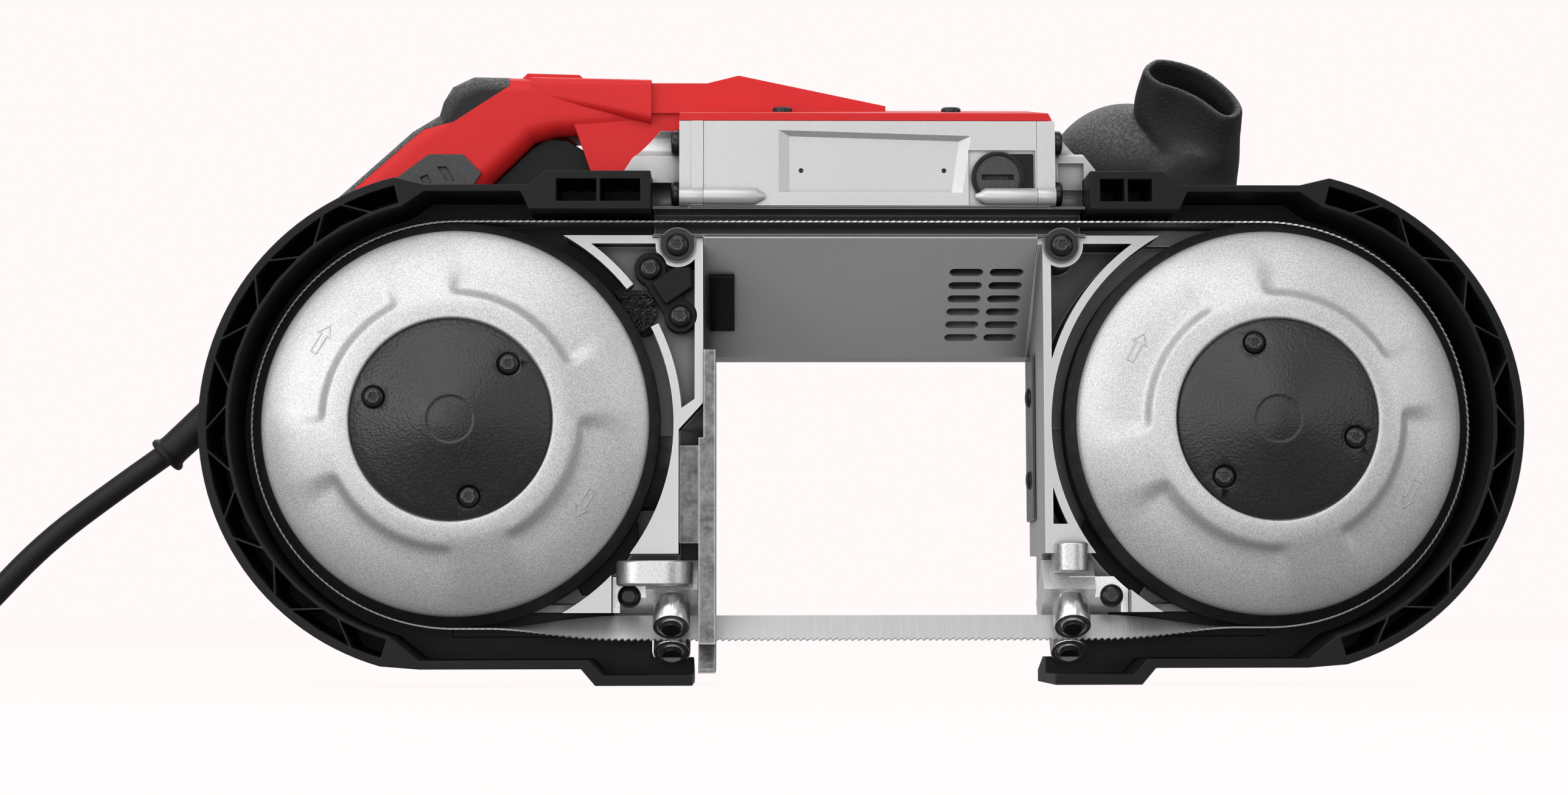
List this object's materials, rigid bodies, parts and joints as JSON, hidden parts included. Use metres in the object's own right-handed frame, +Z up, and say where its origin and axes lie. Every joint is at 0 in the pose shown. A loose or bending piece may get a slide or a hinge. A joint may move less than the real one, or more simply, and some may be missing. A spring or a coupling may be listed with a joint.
{
  "type": "portable band saw",
  "caption": "Corded deep-cut portable band saw with cast frame, red rear handle, rubber front handle, black wheel guards and a twisted lower blade run.",
  "frame": {"origin": "on the floor under the guard feet, midway between the two wheels and at the middle of the tool without its cord, front to back", "axes": "+X from the rear handle to the front handle, +Y away from the wheel side, +Z up"},
  "size_m": [0.8075, 0.1998, 0.2552],
  "materials": {
    "cast_metal": "fine grained die casting",
    "red_plastic": "fine texture moulding",
    "rubber_grip": "grained overmould",
    "black_plastic": "moulded guard",
    "hub_plastic": "leather grain",
    "wheel_steel": "grey painted pressing",
    "tyre_rubber": "smooth tyre",
    "bright_steel": "bright steel",
    "dark_steel": "blackened steel",
    "channel_black": "gloss black paint",
    "copper_bar": "copper segments",
    "carbon": "carbon block",
    "light_lens": "frosted lens",
    "cord_jacket": "smooth jacket"
  },
  "bodies": {
    "frame": {"arm_plate": "channel_black", "blade": "bright_steel", "blade_channel": "channel_black", "brush_caps": "black_plastic", "brush_holders": "copper_bar", "carbon_brushes": "carbon", "chip_brush_bristles": "black_plastic", "chip_brush_holder": "black_plastic", "cord_coil": "cord_jacket", "cord_lead": "cord_jacket", "frame_screws": "dark_steel", "front_frame": "cast_metal", "front_guard": "black_plastic", "front_guide_bracket": "bright_steel", "front_handle": "rubber_grip", "gear_bearings": "bright_steel", "gear_case": "cast_metal", "grip_overmould": "rubber_grip", "grip_panels": "black_plastic", "handle_front_half": "red_plastic", "handle_rear_half": "red_plastic", "handle_screws": "dark_steel", "housing_bolts": "bright_steel", "motor_bearings": "bright_steel", "motor_housing": "cast_metal", "plug_body": "cord_jacket", "plug_prongs": "copper_bar", "rear_guard": "black_plastic", "rear_guide_bracket": "bright_steel", "stator": "dark_steel", "strain_relief": "rubber_grip", "switch_body": "black_plastic", "tension_spring": "bright_steel", "work_light": "light_lens", "work_stop": "dark_steel"},
    "drive_wheel_unit": {"drive_wheel": "wheel_steel", "drive_tyre": "tyre_rubber", "drive_hub_cap": "hub_plastic", "drive_hub_screws": "dark_steel", "drive_spindle": "bright_steel", "crown_gear": "bright_steel"},
    "pinion_unit": {"pinion_shaft": "bright_steel"},
    "counter_unit": {"counter_shaft": "bright_steel"},
    "armature_unit": {"armature": "bright_steel", "commutator": "copper_bar", "fan": "black_plastic"},
    "idler_wheel_unit": {"idler_wheel": "wheel_steel", "idler_tyre": "tyre_rubber", "idler_hub_cap": "hub_plastic", "idler_hub_screws": "dark_steel", "idler_bearings": "bright_steel"},
    "carriage_unit": {"tension_carriage": "bright_steel", "idler_axle": "bright_steel"},
    "lever_unit": {"tension_lever": "dark_steel"},
    "trigger_unit": {"trigger": "black_plastic"},
    "rear_upper_roller_unit": {"rear_upper_roller": "bright_steel"},
    "rear_lower_roller_unit": {"rear_lower_roller": "bright_steel"},
    "front_upper_roller_unit": {"front_upper_roller": "bright_steel"},
    "front_lower_roller_unit": {"front_lower_roller": "bright_steel"}
  },
  "joints": [
    {"name": "drive_wheel_spin", "type": "hinge", "parent": "frame", "child": "drive_wheel_unit", "pos_m": [-0.15913, -0.04108, 0.102], "axis": [0, 1, 0], "continuous": true},
    {"name": "pinion_shaft_spin", "type": "hinge", "parent": "frame", "child": "pinion_unit", "pos_m": [-0.1, 0.01692, 0.102], "axis": [1, 0, 0], "continuous": true},
    {"name": "counter_shaft_spin", "type": "hinge", "parent": "frame", "child": "counter_unit", "pos_m": [-0.08, 0.01892, 0.15], "axis": [1, 0, 0], "continuous": true},
    {"name": "armature_spin", "type": "hinge", "parent": "frame", "child": "armature_unit", "pos_m": [0, 0.00092, 0.199], "axis": [1, 0, 0], "continuous": true},
    {"name": "idler_wheel_spin", "type": "hinge", "parent": "carriage_unit", "child": "idler_wheel_unit", "pos_m": [0.15913, -0.04108, 0.102], "axis": [0, 1, 0], "continuous": true},
    {"name": "carriage_slide", "type": "slide", "parent": "frame", "child": "carriage_unit", "axis": [1, 0, 0], "range_m": [-0.0045, 0], "stiffness_N_per_m": 2000, "springref_m": 0.012, "deforming": ["tension_spring"]},
    {"name": "tension_lever_turn", "type": "hinge", "parent": "frame", "child": "lever_unit", "pos_m": [0.13, 0.01292, 0.102], "axis": [0, 1, 0], "range_deg": [0, 180]},
    {"name": "trigger_slide", "type": "slide", "parent": "frame", "child": "trigger_unit", "axis": [-0.6428, 0, 0.766], "range_m": [0, 0.006], "stiffness_N_per_m": 400, "springref_m": -0.006},
    {"name": "rear_upper_roller_spin", "type": "hinge", "parent": "frame", "child": "rear_upper_roller_unit", "pos_m": [-0.0749, -0.04075, 0.02695], "axis": [0, 0.6428, 0.766], "continuous": true},
    {"name": "rear_lower_roller_spin", "type": "hinge", "parent": "frame", "child": "rear_lower_roller_unit", "pos_m": [-0.0749, -0.02872, 0.01685], "axis": [0, 0.6428, 0.766], "continuous": true},
    {"name": "front_upper_roller_spin", "type": "hinge", "parent": "frame", "child": "front_upper_roller_unit", "pos_m": [0.0814, -0.04075, 0.02695], "axis": [0, 0.6428, 0.766], "continuous": true},
    {"name": "front_lower_roller_spin", "type": "hinge", "parent": "frame", "child": "front_lower_roller_unit", "pos_m": [0.0814, -0.02872, 0.01685], "axis": [0, 0.6428, 0.766], "continuous": true}
  ],
  "couplings": [
    {"joint": "pinion_shaft_spin", "follows": "drive_wheel_spin", "ratio": 4.4},
    {"joint": "counter_shaft_spin", "follows": "drive_wheel_spin", "ratio": -17.6},
    {"joint": "armature_spin", "follows": "drive_wheel_spin", "ratio": 66.88},
    {"joint": "idler_wheel_spin", "follows": "drive_wheel_spin", "ratio": 1},
    {"joint": "tension_lever_turn", "follows": "carriage_slide", "rad_per_m": -698.13},
    {"joint": "rear_upper_roller_spin", "follows": "drive_wheel_spin", "ratio": 11.048},
    {"joint": "rear_lower_roller_spin", "follows": "drive_wheel_spin", "ratio": -11.048},
    {"joint": "front_upper_roller_spin", "follows": "drive_wheel_spin", "ratio": 11.048},
    {"joint": "front_lower_roller_spin", "follows": "drive_wheel_spin", "ratio": -11.048}
  ]
}
